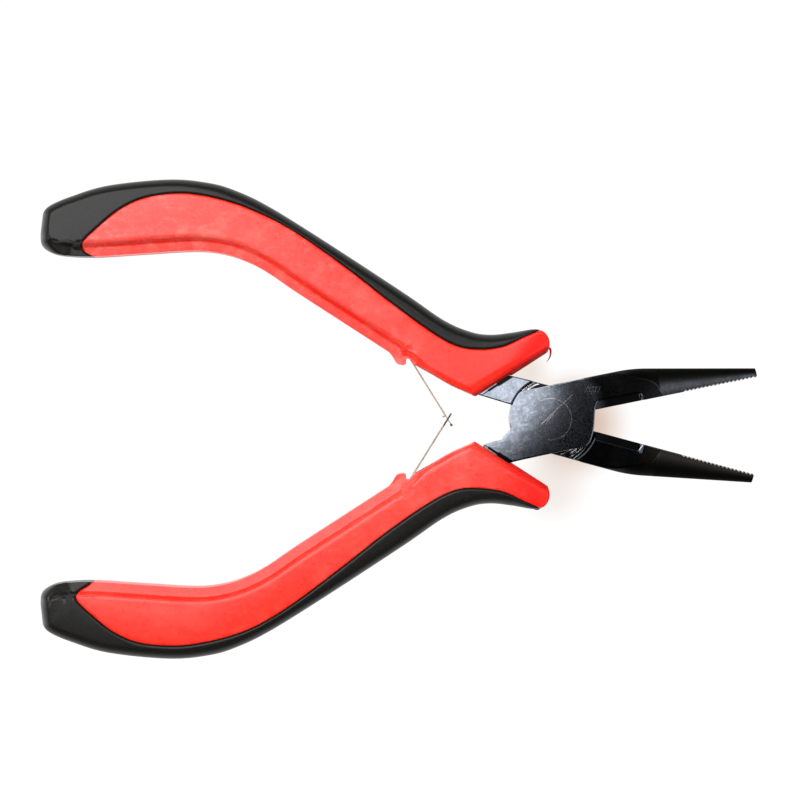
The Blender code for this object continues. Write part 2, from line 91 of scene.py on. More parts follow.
# Jaw: X runs along the line that the jaws close on, and depths are measured from it.
JAW_INNER_END_X = 7.0  # the jaw's loft starts here, inside the joint
JAW_ROOT_END_X = 15.8
JAW_ROOT_SPACING = 0.4
JAW_NOSE_SPACING = 0.18
JAW_TIP_X = 36.8
TAPER_START_X = 15.5
TAPER_BLEND = 2.5
JAW_ROOT_DEPTH = 5.85
JAW_TIP_DEPTH = 1.6
TIP_HALF_THICKNESS = 1.5
FLAT_END_X = 19.7
RIDGE = [(8.0, 5.75), (11.4, 5.65), (13.2, 5.3), (14.9, 4.65), (17.0, 3.7), (18.4, 2.9), (19.3, 1.9),
         (19.7, 0.3)]
CUTTER_END_X = 15.95
CUTTER_FACE = 0.55
CUTTER_BEVEL = 1.4
CUTTER_BEVEL_FALL = 1.15  # the bevel's slope ends here, above the upright land by the edge
BACK_SHARE = 0.86  # how far round its ellipse the back goes before it drops square
BACK_STEPS = 18
TEETH_START_X = 23.6
TOOTH_PITCH = 0.715
TOOTH_COUNT = 18
TOOTH_DEPTH = 0.34
CLOSED_JAW_GAP = 0.05

# Grip outline, from the front corner and the horn back to the tail.
GRIP_HALF_THICKNESS = 5.5
INNER_FRONT = [(-13.2, 0.8), (-18.0, 1.75), (-21.5, 2.8), (-24.8, 3.75)]
NOTCH = [(-25.45, 3.92), (-25.75, 4.2), (-26.35, 4.7), (-26.75, 4.6), (-26.8, 4.2), (-26.62, 3.75)]
NUB = [(-26.75, 3.5), (-27.2, 3.3), (-28.1, 3.3), (-28.55, 3.6), (-29.2, 4.3)]
INNER_REAR = [(-30.0, 4.95), (-36.0, 7.1), (-48.0, 11.4), (-54.0, 13.7), (-58.0, 14.7), (-62.0, 15.0),
              (-67.0, 14.35), (-76.0, 11.7), (-84.0, 9.3), (-89.5, 8.3), (-91.7, 8.45), (-93.1, 9.2),
              (-93.75, 10.6)]
OUTER = [(-3.2, 11.15), (-3.15, 12.4), (-3.6, 13.6), (-4.7, 14.5), (-6.5, 14.5), (-10.0, 13.1),
         (-13.5, 11.9), (-17.0, 11.6), (-22.0, 12.5), (-30.0, 15.6), (-46.0, 21.4), (-56.0, 24.75),
         (-62.0, 26.1), (-67.0, 26.4), (-74.0, 25.4), (-84.0, 22.0), (-90.0, 18.6), (-93.2, 16.2),
         (-94.2, 14.4)]
LEDGE_WIDTH = 1.65
LEDGE_HALF_THICKNESS = 3.6
LEDGE_FADE = (-93.5, -87.5)  # the ledge runs out into the tail's round between these
TAIL_EDGE_ROUND = 2.4
LEDGE_TILT = 0.07  # the ledge leans down by this share of its step at its free edge
FILLET_WIDTH = 0.85
FILLET_FOOT = 0.85  # the share of its smooth curve that the fillet runs before the ledge
OUTER_ROUND = 2.4
OUTER_ROUND_DEPTH = 2.7
TAIL_ROUND = 2.4
FRONT_ROUND = 2.0
FRONT_ROUND_DEPTH = 1.1
FRONT_LIP = 0.55  # below its round the front face leans out by this much
FRONT_LIP_DEPTH = 1.0
HORN_ROUND = 0.9  # the outer round is tighter at the tip of the horn
HORN_ROUND_DEPTH = 1.2
HORN_X = (-10.0, -4.5)
INNER_FRONT_ROUND = 1.2
INNER_FRONT_DEPTH = 0.9
RIM_HALF_THICKNESS = 0.4
CROWN = 0.45
CROWN_REACH = 8.0
SEAM_ROUND = 0.35
CUSHION_ROUND = 1.3 * SEAM_ROUND
FRONT_FALL_X = -12.0
FRONT_FALL = 0.7  # the face runs down this much towards the horn
FRONT_FALL_REACH = 9.0
INNER_ROUND = 0.5
FALL_BLEND = 3  # the falls are joined by this power: higher is crisper
RIM_BLEND = 8
GRIP_SPACING = 0.3
# The grip's mesh has a line of points at each of these distances in from its edge.
GRIP_RINGS = [0.06, 0.14, 0.24, 0.36, 0.5, 0.6, 0.75, 0.95, 1.2, 1.45, 1.6, 1.72, 1.84, 1.96, 2.08, 2.22, 2.4,
              2.65, 3.0, 3.4, 3.9, 4.5]

SEAM = [(-3.8, 16.4), (-5.4, 14.6), (-8.0, 12.6), (-11.0, 10.3), (-15.0, 8.8), (-19.0, 8.4), (-24.0, 9.7),
        (-32.0, 12.95), (-40.0, 16.65), (-48.0, 20.1), (-54.0, 22.25), (-60.0, 23.6), (-66.0, 23.95),
        (-72.0, 23.4), (-78.0, 21.5), (-82.0, 18.7), (-85.0, 15.0), (-87.0, 11.9), (-86.6, 10.5),
        (-84.6, 9.75), (-82.6, 8.2)]
SEAM_DRIFT = {"upper": 0.5, "lower": -0.5}
SEAM_DRIFT_CENTRE_X = -36.0
SEAM_DRIFT_REACH = 22.0
SEAM_TAIL_SHIFT = {"upper": (1.1, -0.6), "lower": (0.0, 0.0)}
SEAM_TAIL = (-66.0, -87.0)
FILLET_LINE = [(-12.0, -0.9), (-13.8, -0.5), (-18.4, 0.3), (-21.9, 1.3), (-25.1, 2.55), (-28.0, 4.0)]
FRONT_STEP = 0.0  # the ledge runs out beside the tang
FRONT_STEP_X = (-29.0, -22.0)

# The tang, from the joint to its end: along, across, width and half height.
TANG = [(-12.5, 3.5, 4.5, 3.6), (-17.5, 4.75, 2.6, 2.4), (-22.0, 6.35, 2.4, 2.4), (-27.5, 8.35, 2.4, 2.4),
        (-36.0, 10.9, 2.6, 2.4), (-46.0, 14.8, 3.0, 2.4), (-55.0, 18.0, 3.2, 2.4), (-62.0, 19.3, 3.2, 2.4),
        (-68.0, 19.1, 3.0, 2.4), (-74.0, 17.9, 2.6, 2.2)]
TANG_MOUTH = [(-2.0, 3.2, 5.1, 3.9), (-13.5, 3.3, 5.0, 3.9)]
TANG_ROOM = 0.12
BAR_OUTER_Y = 5.75
# The bar's inner edge, from grip to plate, with a trimmed flash step on the lower half.
BAR_INNER = {
    "upper": [(-13.3, 1.25), (-9.5, 1.0), (-7.3, 0.87)],
    "lower": [(-12.35, 1.73), (-10.4, 1.56), (-9.2, 1.6), (-8.78, 1.46), (-8.55, 1.1), (-8.2, 0.98),
              (-8.12, 0.76), (-7.66, 0.7), (-7.6, 0.45), (-7.3, 0.4), (-7.24, 0.1)],
}

# Threads of moulding flash left on the horns: plan points from the joint axis.
FLASH = [("horn_flash", "upper", "red_plastic",
          [(-1.1, 11.7), (-0.6, 12.15), (-0.15, 12.4), (0.1, 11.95), (0.0, 10.9), (-0.6, 9.95)]),
         ("heel_flash", "lower", "black_rubber", [(-1.6, -15.2), (-2.1, -15.7), (-2.8, -15.75)])]
FLASH_RADIUS = 0.2
FLASH_BUTT = 1.15  # a thread's first radius, as a share of FLASH_RADIUS

# Leaf springs, measured along the leaf from its root.
LEAF_THICKNESS = 0.28
LEAF_CROSSING = 13.49
LEAF_HALF_WIDTH = 2.2
LEAF_ROOT_RADIUS = 0.45
NECK_HALF_WIDTH = 0.8
NECK_THICKNESS = 0.12
HEAD_THICKNESS = 0.42
HEAD_HALF_WIDTH = 1.6
SLOT_HALF_WIDTH = 1.1
SOCKET_RADIUS = 0.75
POCKET_HALF_HEIGHT = 2.6
LEAF_ANGLE = math.radians(-44.9)
LEAF_SWING = math.radians(21.65)
POCKET_CLEARANCE = 0.3
POCKET_OPEN_REACH = 3.2
POCKET_FOLDED_REACH = 12.4
POCKET_MOUTH = (-15.0, 0.0)
# Along the leaf from where the two cross.
WIDE_END = -0.6
NECK = (-0.55, 1.0)
HEAD = (1.05, 1.4)
SLOT = (-0.95, 0.85)
SLOTTED_END = 1.2
FOOT_AT = -0.88
# The tabs bent off the tongued leaf: how far aside they stand, and between which heights.
FOOT_LENGTH = -0.55
FOOT_HEIGHTS = (1.0, 2.1)

# Studio, in metres: each light's place, size, turn in degrees and radiance.
LIGHT_HEIGHT = 0.9
LIGHTS = [("key", (-0.355, 0.176), (0.8, 1.4), -40, 3.8), ("upper_left", (-0.42, 0.4), (0.6, 0.7), -40, 8.0),
          ("right_fill", (0.6, 0.0), (0.5, 1.2), 0, 0.95)]
FLAG_HEIGHTS = (LIGHT_HEIGHT - 0.03, LIGHT_HEIGHT - 0.02)
FLAGS = [((0.035, 0.08), (0.22, 0.8)), ((-0.9, -0.9), (0.0, -0.085))]
# Painted shadow: the table is painted darker and warmer close round the joint: middle, inner and outer radius,
# strength.
TABLE_SHADOW_PATCHES = [((0.031, -0.001, 0.0), 0.003, 0.0115, 1.0), ((0.0223, 0.0082, 0.0), 0.001, 0.006, 0.5),
        ((0.027, -0.0115, 0.0), 0.001, 0.009, 0.4)]
TABLE_SHADOW_TINT = (0.68, 0.52, 0.43)
TABLE_SIZE = 6.0
TABLE_GLOW = 1.03
# The sky's brightness by height, and its dimming towards +X.
SKY = [(0.02, (0.9, 0.9, 0.9)), (0.12, (0.36, 0.36, 0.36)), (0.35, (0.22, 0.22, 0.22)),
       (0.7, (0.2, 0.2, 0.2)), (0.9, (0.01, 0.01, 0.011))]
SKY_DIMMING = (0.0, 0.8, 1.0, 0.35)
SENSOR_WIDTH = 36.0
CAMERA_DISTANCE = 600.0  # in millimetres, above the object's middle
WIDTH_SEEN = 139.6
CAMERA_AT = (0.22, 3.32, CAMERA_DISTANCE + GRIP_HALF_THICKNESS)

# Colours.
BLACKENED = (0.15, 0.165, 0.195)
BARE_STEEL = (0.62, 0.6, 0.58)
# Painted shade for the lap's faces inside the shoulders.
LAP_PAINTED_SHADE = (0.006, 0.006, 0.007)
LAP_SHINE = (0.9, 0.9, 0.9)
# Painted shade: the jaws' darkening.
JAW_PAINTED_SHADE = (0.02, 0.0175, 0.0145)
# Painted light: the lower nose's lightening.
LOWER_NOSE_PAINTED_LIGHT = (0.078, 0.07, 0.062)
# Painted shade: the jaws' backs, and their roots by the joint.
JAW_BACK_PAINTED_SHADE = (0.012, 0.012, 0.0095)
JAW_ROOT_PAINTED_SHADE = (0.004, 0.0035, 0.003)
# Painted highlight for the cutters' ends.
CUTTER_PAINTED_HIGHLIGHT = (0.32, 0.36, 0.44)
# Painted shade for the bars where they go into the grips.
MOUTH_PAINTED_SHADE = (0.004, 0.004, 0.004)
HOOK_DARK_BROWN = (0.055, 0.032, 0.02)
RED = (0.95, 0.019, 0.006)
RUBBER_BLACK = (0.0068, 0.0062, 0.0058)
SPRING_BRONZE = (0.34, 0.26, 0.21)

# Wear: marks from point to point, in millimetres from the joint axis, with their widths.
SCRATCHES = [((-1.6, -0.85), (1.05, 1.75), 0.12), ((1.05, 1.75), (3.85, 4.35), 0.1),
             ((-1.0, -0.9), (0.5, 1.0), 0.1), ((5.9, 4.6), (6.6, 5.9), 0.09), ((6.4, 4.5), (7.0, 6.0), 0.08),
             ((7.0, 4.4), (7.4, 5.7), 0.09), ((7.6, 4.6), (8.1, 5.9), 0.08), ((8.2, 4.7), (8.6, 5.6), 0.08),
             ((5.6, 4.9), (8.7, 4.7), 0.07), ((6.0, 5.5), (8.4, 5.6), 0.06)]
# Arcs about the joint axis, by radius and width: the rivet's edge, and rubs on the lap.
RING_MARKS = [(3.6, 0.11)]
LAP_MARKS = [(6.45, 0.16), (6.95, 0.24), (7.5, 0.14)]
# Painted shade on the bar where the grip starts, standing for the shadow under the grip's front edge, in the
# half's own frame.
MOUTH_SHADE_STROKES = [((-13.0, 0.95), (-11.6, 2.4), 0.12), ((-11.6, 2.4), (-10.2, 3.9), 0.3),
               ((-10.2, 3.9), (-8.3, 5.85), 0.55)]
# Darker brown marks on the lower leaf where the leaves hook together, in millimetres from the joint axis.
HOOK_DARK_MARKS = [((-18.3, -1.13), (-17.2, 0.61), 0.45), ((-17.45, -1.1), (-17.28, -1.27), 0.5)]
# Painted highlights at the ends of the cutters' bevels, in millimetres from the joint axis.
CUTTER_END_HIGHLIGHTS = [((15.55, 4.2), (15.85, 3.3), 0.38), ((15.55, -5.6), (15.95, -4.2), 0.42)]

# Plane curves.

def evenly(line, spacing):
    """A polyline's points again, about one spacing apart along it."""
    at = np.concatenate([[0], np.cumsum(np.linalg.norm(np.diff(line, axis=0), axis=1))])
    where = np.linspace(0, at[-1], max(2, round(at[-1] / spacing) + 1))
    return np.column_stack([np.interp(where, at, line[:, i]) for i in range(line.shape[1])])


def curve(points, spacing):
    """A Catmull-Rom curve through the given points."""
    knots = np.array(points, float)
    knots = np.vstack([2 * knots[0] - knots[1], knots, 2 * knots[-1] - knots[-2]])
    t = np.linspace(0, 1, 24, endpoint=False)[:, None]
    fine = []
    for a, b, c, d in zip(knots, knots[1:], knots[2:], knots[3:]):
        fine.append(0.5 * (2 * b + (c - a) * t + (2 * a - 5 * b + 4 * c - d) * t ** 2
                           + (3 * b - a - 3 * c + d) * t ** 3))
    return evenly(np.vstack(fine + [knots[-2:-1]]), spacing)


def arc(radius, start, end, steps):
    """Points along an arc about the origin, angles in degrees."""
    angle = np.radians(np.linspace(start, end, steps + 1))
    return np.column_stack([radius * np.cos(angle), radius * np.sin(angle)])


def turned(points, angle):
    """Plane points turned about the origin."""
    c, s = math.cos(angle), math.sin(angle)
    return np.array(points, float) @ np.array([[c, s], [-s, c]])


def distance(points, line):
    """The shortest distance from each point to a polyline."""
    best = np.full(len(points), np.inf)
    for a, b in zip(line[:-1], line[1:]):
        span = b - a
        along = np.clip(((points - a) @ span) / max(span @ span, 1e-12), 0, 1)
        best = np.minimum(best, np.linalg.norm(points - a - along[:, None] * span, axis=1))
    return best


def crossing(line, other):
    """Where a polyline first crosses another: the two indices before it, and the point."""
    for i in range(len(line) - 1):
        near = np.abs((other[:-1] + other[1:]) / 2 - line[i]).max(axis=1) < 2.0
        for j in np.nonzero(near)[0]:
            hit = intersect_line_line_2d(line[i], line[i + 1], other[j], other[j + 1])
            if hit:
                return i, j, np.array(hit)
    raise ValueError("the lines don't cross")


# Meshes.

def mesh_object(name, points, faces):
    """A closed mesh object from points, with its faces turned outwards."""
    mesh = bpy.data.meshes.new(name)
    mesh.from_pydata([tuple(float(v) for v in p) for p in points], [], faces)
    shape = bmesh.new()
    shape.from_mesh(mesh)
    bmesh.ops.recalc_face_normals(shape, faces=shape.faces)
    shape.to_mesh(mesh)
    shape.free()
    made = bpy.data.objects.new(name, mesh)
    bpy.context.scene.collection.objects.link(made)
    return made


def loft(name, rings):
    """A solid through rings of equally many points, with flat ends."""
    count = len(rings[0])
    faces = [list(range(count)), list(range((len(rings) - 1) * count, len(rings) * count))]
    for r in range(len(rings) - 1):
        for i in range(count):
            j = (i + 1) % count
            faces.append([r * count + i, r * count + j, (r + 1) * count + j, (r + 1) * count + i])
    return mesh_object(name, np.vstack(rings), faces)


def prism(name, outline, low, high):
    """A plane outline raised from one height to another."""
    outline = np.array(outline, float)
    return loft(name, [np.column_stack([outline, np.full(len(outline), z)]) for z in (low, high)])


def spun(name, profile, centre=(0.0, 0.0), steps=96):
    """A solid turned about a vertical axis; the profile is (radius, height) from bottom to top."""
    circle = arc(1.0, 0, 360 - 360 / steps, steps - 1)
    return loft(name, [np.column_stack([circle * r + centre, np.full(steps, z)]) for r, z in profile])


def relief(name, outline, height, offsets=GRIP_RINGS, spacing=GRIP_SPACING):
    """A solid with the same face above and below: height() gives its half thickness over plane points."""
    outline = evenly(np.vstack([outline, outline[:1]]), spacing)[:-1]
    area = np.sum(outline[:, 0] * np.roll(outline[:, 1], -1) - np.roll(outline[:, 0], -1) * outline[:, 1])
    if area < 0:
        outline = outline[::-1]
    closed = np.vstack([outline, outline[:1]])
    normals = np.roll(outline, -1, axis=0) - np.roll(outline, 1, axis=0)
    normals = np.column_stack([-normals[:, 1], normals[:, 0]])
    normals /= np.linalg.norm(normals, axis=1)[:, None]
    kept, taken = [outline], set()
    for offset in offsets:
        ring = outline + normals * offset
        # A point that has come near another edge is left out.
        ring = ring[distance(ring, closed) > offset * 0.97]
        kept.append(apart(ring, min(0.5 * spacing, 0.6 * offset), taken))
    low, high = outline.min(axis=0), outline.max(axis=0)
    step = spacing * 1.8
    grid = [(x + (row % 2) * step / 2, y) for row, y in enumerate(np.arange(low[1], high[1], step * 0.87))
            for x in np.arange(low[0], high[0], step)]
    grid = np.array(grid)
    grid = grid[inside(grid, closed)]
    kept.append(grid[distance(grid, closed) > offsets[-1] + step * 0.5])
    plane = np.vstack(kept)
    found = delaunay_2d_cdt([Vector(p) for p in plane], [], [list(range(len(outline)))], 1, 1e-5)
    plane = np.array([tuple(v) for v in found[0]])
    order = {k: i for i, was in enumerate(found[3]) for k in was if k < len(outline)}
    z = height(plane)
    points = np.vstack([np.column_stack([plane, z]), np.column_stack([plane, -z])])
    below = len(plane)
    faces = [list(f) for f in found[2]] + [[below + i for i in reversed(f)] for f in found[2]]
    loop = [order[k] for k in range(len(outline))]
    for a, b in zip(loop, loop[1:] + loop[:1]):
        faces.append([a, b, below + b, below + a])
    return mesh_object(name, points, faces)


def apart(points, gap, taken):
    """Those points that fall in a cell of their own, so that none crowd together."""
    kept = []
    for point in points:
        cell = (round(point[0] / gap), round(point[1] / gap), round(gap, 4))
        if cell not in taken:
            taken.add(cell)
            kept.append(point)
    return np.array(kept).reshape(-1, 2)


def inside(points, closed):
    """Which points lie inside a closed polyline."""
    odd = np.zeros(len(points), bool)
    for (x1, y1), (x2, y2) in zip(closed[:-1], closed[1:]):
        if y1 != y2:
            spans = (points[:, 1] > min(y1, y2)) & (points[:, 1] <= max(y1, y2))
            odd ^= spans & (points[:, 0] < x1 + (points[:, 1] - y1) * (x2 - x1) / (y2 - y1))
    return odd


def baked(target, *tools):
    """Makes what the modifiers give into the object's own mesh, and clears the tools away."""
    bpy.context.view_layer.update()
    evaluated = target.evaluated_get(bpy.context.evaluated_depsgraph_get())
    target.data = bpy.data.meshes.new_from_object(evaluated)
    target.modifiers.clear()
    for tool in tools:
        bpy.data.objects.remove(tool)
    return target


def combined(target, operation, *tools):
    """The exact union, difference or intersection with each tool in turn."""
    for tool in tools:
        step = target.modifiers.new(tool.name, "BOOLEAN")
        step.operation = operation
        step.object = tool
    return baked(target, *tools)


def softened(target, voxel, rounds):
    """The same solid with every edge a little rounded, as forging and plating leave it."""
    remesh = target.modifiers.new("remesh", "REMESH")
    remesh.mode = "VOXEL"
    remesh.voxel_size = voxel
    smooth = target.modifiers.new("smooth", "SMOOTH")
    smooth.factor = 0.5
    smooth.iterations = rounds
    return baked(target)


def thinned(target, share):
    """The same surface in fewer triangles."""
    target.modifiers.new("thin", "DECIMATE").ratio = share
    return baked(target)


def domed(piece):
    """Lowers the joint's two faces away from the rivet, as grinding a drop forging does."""
    for vertex in piece.data.vertices:
        x, y, z = vertex.co
        away = math.hypot(x, y)
        drop = min(away, DOME_REACH) ** 2 / (2 * DOME_RADIUS)
        past = max(away - DOME_REACH, 0)
        if x > 0:
            past = min(past, DOME_RUNOUT)
            past -= past ** 2 / (2 * DOME_RUNOUT)
        drop += past * DOME_REACH / DOME_RADIUS
        vertex.co.z = z * (1 - drop / HALF_THICKNESS)
    return piece


def dressed(piece, place, finish, sharp=35):
    """Moves a piece to its place and gives it its finish, smooth over edges of less than this angle."""
    piece.data.transform(place)
    piece.data.materials.clear()
    piece.data.materials.append(finish)
    piece.data.shade_smooth()
    piece.data.set_sharp_from_angle(angle=math.radians(sharp))


def settle(piece, side, body, nodes, finish, sharp=35):
    """Takes a piece from its half's frame to the row frame, finished, and sets it on its body."""
    dressed(piece, Matrix.Scale(MM, 4) @ HALF_FRAME[side], finish, sharp)
    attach(piece, body)
    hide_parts(*nodes)


# Materials.

class Finish:
    """A material under construction: a Principled surface and the nodes that feed it."""

    def __init__(self, name, colour, metallic=0.0):
        self.material = bpy.data.materials.new(name)
        self.material.use_nodes = True
        self.material.diffuse_color = (*colour, 1)
        self.tree = self.material.node_tree
        self.surface = self.tree.nodes["Principled BSDF"]
        self.surface.inputs["Metallic"].default_value = metallic
        self.place = self.add("TexCoord").outputs["Object"]
        self.colour = self.constant(colour)
        self.roughness = 1.0
        self.bump = None

    def add(self, kind, **settings):
        node = self.tree.nodes.new("ShaderNode" + kind)
        for name, value in settings.items():
            setattr(node, name, value)
        return node

    def feed(self, socket, value):
        if isinstance(value, bpy.types.NodeSocket):
            self.tree.links.new(value, socket)
        else:
            socket.default_value = value

    def constant(self, colour):
        node = self.add("RGB")
        node.outputs[0].default_value = (*colour, 1)
        return node.outputs[0]

    def parts(self, vector):
        """A vector's three numbers."""
        node = self.add("SeparateXYZ")
        self.feed(node.inputs[0], vector)
        return node.outputs

    def maths(self, operation, *values):
        node = self.add("Math", operation=operation)
        for socket, value in zip(node.inputs, values):
            self.feed(socket, value)
        return node.outputs[0]

    def times(self, product, *factors):
        """The product of several masks or numbers."""
        for factor in factors:
            product = self.maths("MULTIPLY", product, factor)
        return product

    def vectors(self, operation, *values):
        node = self.add("VectorMath", operation=operation)
        for socket, value in zip(node.inputs, values):
            self.feed(socket, value)
        return node.outputs["Value" if operation in ("LENGTH", "DOT_PRODUCT", "DISTANCE") else "Vector"]

    def noise(self, size, detail=3.0, rough=0.5, stretch=(1, 1, 1)):
        """Noise whose features are about this many millimetres across."""
        scaled = self.vectors("MULTIPLY", self.place, stretch)
        node = self.add("TexNoise")
        self.feed(node.inputs["Vector"], scaled)
        node.inputs["Scale"].default_value = 1 / (size * MM)
        node.inputs["Detail"].default_value = detail
        node.inputs["Roughness"].default_value = rough
        return node.outputs["Fac"]

    def between(self, value, low, high, to_low=0.0, to_high=1.0):
        """A value's place between two others, smoothly."""
        node = self.add("MapRange", interpolation_type="SMOOTHSTEP")
        for socket, number in zip(node.inputs, (value, low, high, to_low, to_high)):
            self.feed(socket, number)
        return node.outputs[0]

    def ramp(self, value, low, high, *to):
        """The same between two lengths in millimetres."""
        return self.between(value, low * MM, high * MM, *to)

    def tint(self, mask, colour):
        """The colour so far, turned towards another by a mask."""
        node = self.add("Mix", data_type="RGBA")
        self.feed(node.inputs["Factor"], mask)
        self.feed(node.inputs["A"], self.colour)
        self.feed(node.inputs["B"], (*colour, 1))
        self.colour = node.outputs["Result"]

    def stroke(self, start, end, width):
        """A mask along a straight line seen from above, between two points of the row frame in metres."""
        a, b = Vector(start), Vector(end)
        away = self.vectors("MULTIPLY", self.vectors("SUBTRACT", self.place, a), (1, 1, 0))
        along = self.maths("DIVIDE", self.vectors("DOT_PRODUCT", away, b - a), (b - a).length_squared)
        held = self.add("Clamp")
        self.feed(held.inputs["Value"], along)
        nearest = self.vectors("SCALE", b - a)
        self.feed(nearest.node.inputs["Scale"], held.outputs[0])
        self.feed(nearest.node.inputs[0], b - a)
        gone = self.vectors("LENGTH", self.vectors("SUBTRACT", away, nearest))
        return self.between(gone, width / 2, width * 0.9, 1.0, 0.0)

    def marked(self, marks, colour, mask=1.0):
        """Straight marks from point to point and their widths, in millimetres from the joint axis."""
        for start, end, width in marks:
            a, b = ((JOINT_AT + Vector((*p, 0))) * MM for p in (start, end))
            self.tint(self.times(self.stroke(a, b, width * MM), mask), colour)

    def ringed(self, marks, away, colour, mask):
        """Arcs in a colour about the joint axis, by radius and width in millimetres."""
        for radius, width in marks:
            off = self.maths("ABSOLUTE", self.maths("SUBTRACT", away, radius * MM))
            ring = self.between(off, width * MM / 2, width * MM, 1.0, 0.0)
            self.tint(self.times(ring, mask), colour)

    def finished(self):
        self.feed(self.surface.inputs["Base Color"], self.colour)
        self.feed(self.surface.inputs["Roughness"], self.roughness)
        if self.bump:
            self.feed(self.surface.inputs["Normal"], self.bump)
        return self.material

    def raised(self, height, strength, distance_mm):
        node = self.add("Bump")
        node.inputs["Strength"].default_value = strength
        node.inputs["Distance"].default_value = distance_mm * MM
        self.feed(node.inputs["Height"], height)
        if self.bump:
            self.feed(node.inputs["Normal"], self.bump)
        self.bump = node.outputs[0]


def steel_finish(name):
    """Blackened forged steel: satin, mottled by the pickling and finely pitted."""
    steel = Finish(name, BLACKENED, 1.0)
    clouds = steel.noise(1.9, 4.0, 0.65)
    grain = steel.noise(0.45, 3.0, 0.6)
    steel.tint(steel.between(grain, 0.42, 0.7), tuple(c * 1.4 for c in BLACKENED))
    steel.tint(steel.between(clouds, 0.42, 0.66, 0.0, 0.6), tuple(c * 0.6 for c in BLACKENED))
    steel.roughness = steel.maths("MULTIPLY_ADD", clouds, 0.1, 0.093)
    steel.raised(steel.noise(1.7, 2.0), 0.3, 0.03)
    steel.raised(grain, 0.3, 0.01)
    return steel


def wear_and_painted_light(steel):
    """Adds the wear round the joint, with painted shade on the lap, the jaws and the bars by the grips,
    painted light on the lower nose and painted highlights on the cutters' ends.
    """
    away = steel.vectors("SUBTRACT", steel.place, tuple(JOINT_AT * MM))
    ahead, aside, up = steel.parts(away)
    flat = steel.vectors("LENGTH", steel.vectors("MULTIPLY", away, (1, 1, 0)))
    facing = steel.parts(steel.add("NewGeometry").outputs["Normal"])
    level = steel.between(steel.maths("ABSOLUTE", facing["Z"]), 0.985, 0.998)
    lap = steel.times(steel.ramp(steel.maths("ABSOLUTE", up), 0.4, 0.8, 1.0, 0.0), level)
    # Painted shade: the lap's level faces inside the shoulder are darkened, as if shadowed by the plate above.
    steel.tint(steel.times(lap, steel.ramp(flat, 8.2, 8.4, 0.93, 0.0)), LAP_PAINTED_SHADE)
    jaws_painted_light_and_shade(steel, ahead, aside, flat, level)
    top = steel.ramp(up, 2.5, 3.0)
    steel.marked(SCRATCHES, BARE_STEEL, steel.times(top, 0.6))
    # Painted highlights on the cutters' ends.
    steel.marked(CUTTER_END_HIGHLIGHTS, CUTTER_PAINTED_HIGHLIGHT, 0.6)
    # Painted shade along the bars where they go into the grips.
    for side in HALF_FRAME:
        for start, end, width in MOUTH_SHADE_STROKES:
            a, b = (MM * (HALF_FRAME[side] @ Vector((*p, 0))) for p in (start, end))
            steel.tint(steel.stroke(a, b, width * MM), MOUTH_PAINTED_SHADE)
    patchy = steel.times(steel.ramp(ahead, -4.0, 2.5, 0.05, 0.8),
                         steel.between(steel.noise(2.4, 2.0), 0.3, 0.55, 0.25, 1.0))
    steel.ringed(RING_MARKS, flat, BARE_STEEL, steel.times(top, patchy))
    broken = steel.between(steel.noise(3.5, 2.0), 0.3, 0.42)
    steel.ringed(LAP_MARKS, flat, LAP_SHINE, steel.times(lap, broken))
    return steel


def jaws_painted_light_and_shade(steel, ahead, aside, flat, level):
    """Painted shade on the jaws, darkest on their backs, on the flats by the joint and on the lower jaw's
    shoulder, and lighter towards the gripping edges, with painted light on the lower nose.
    """
    forward = steel.ramp(ahead, 0.0, 4.0)
    lower = steel.ramp(aside, -1.5, -1.0, 1.0, 0.0)
    # Painted shade: the jaws are darkened forwards of the joint.
    steel.tint(steel.times(forward, steel.ramp(flat, 8.0, 11.0, 0.0, 0.5)), JAW_PAINTED_SHADE)
    # Painted light: the lower nose is lightened where it faces away from the lights.
    steel.tint(steel.times(forward, lower, steel.ramp(flat, 15.5, 19.0)), LOWER_NOSE_PAINTED_LIGHT)
    # How deep in its jaw a point is, from the gripping edge, as a share of the jaw's depth there.
    upper_jaw, lower_jaw = HALF_OPENING - JAW_SET, HALF_OPENING + JAW_SET
    c = steel.maths("MULTIPLY_ADD", lower, math.cos(lower_jaw) - math.cos(upper_jaw), math.cos(upper_jaw))
    s = steel.maths("MULTIPLY_ADD", lower, math.sin(lower_jaw) - math.sin(upper_jaw), math.sin(upper_jaw))
    out = steel.maths("ABSOLUTE", aside)
    depth = steel.maths("SUBTRACT", steel.times(out, c), steel.times(ahead, s))
    along = steel.maths("ADD", steel.times(ahead, c), steel.times(out, s))
    taper = (JAW_ROOT_DEPTH - JAW_TIP_DEPTH) / (JAW_TIP_X - TAPER_START_X)
    full = steel.maths("MULTIPLY_ADD", along, -taper, (JAW_ROOT_DEPTH + taper * TAPER_START_X) * MM)
    share = steel.between(steel.maths("DIVIDE", depth, full), 0.0, 0.72)
    # Painted shade: darker towards the jaw's back, lighter towards its gripping edge.
    steel.tint(steel.times(forward, share, steel.ramp(flat, 14.0, 18.0)), JAW_BACK_PAINTED_SHADE)
    # Painted shade: the flats by the joint, and the lower jaw's shoulder, are painted the darkest.
    flats = steel.maths("MAXIMUM", level, steel.ramp(flat, 16.0, 19.0, 1.0, 0.0))
    root = steel.times(steel.ramp(flat, 8.0, 10.5), flats)
    shoulder = steel.times(lower, steel.ramp(flat, 8.08, 8.2), steel.ramp(flat, 10.0, 11.0, 1.0, 0.0))
    steel.tint(steel.times(forward, steel.maths("MAXIMUM", root, shoulder), 0.86), JAW_ROOT_PAINTED_SHADE)
    nose = steel.times(forward, steel.ramp(flat, 15.0, 20.0, 0.0, 0.16))
    steel.roughness = steel.maths("ADD", steel.roughness, nose)


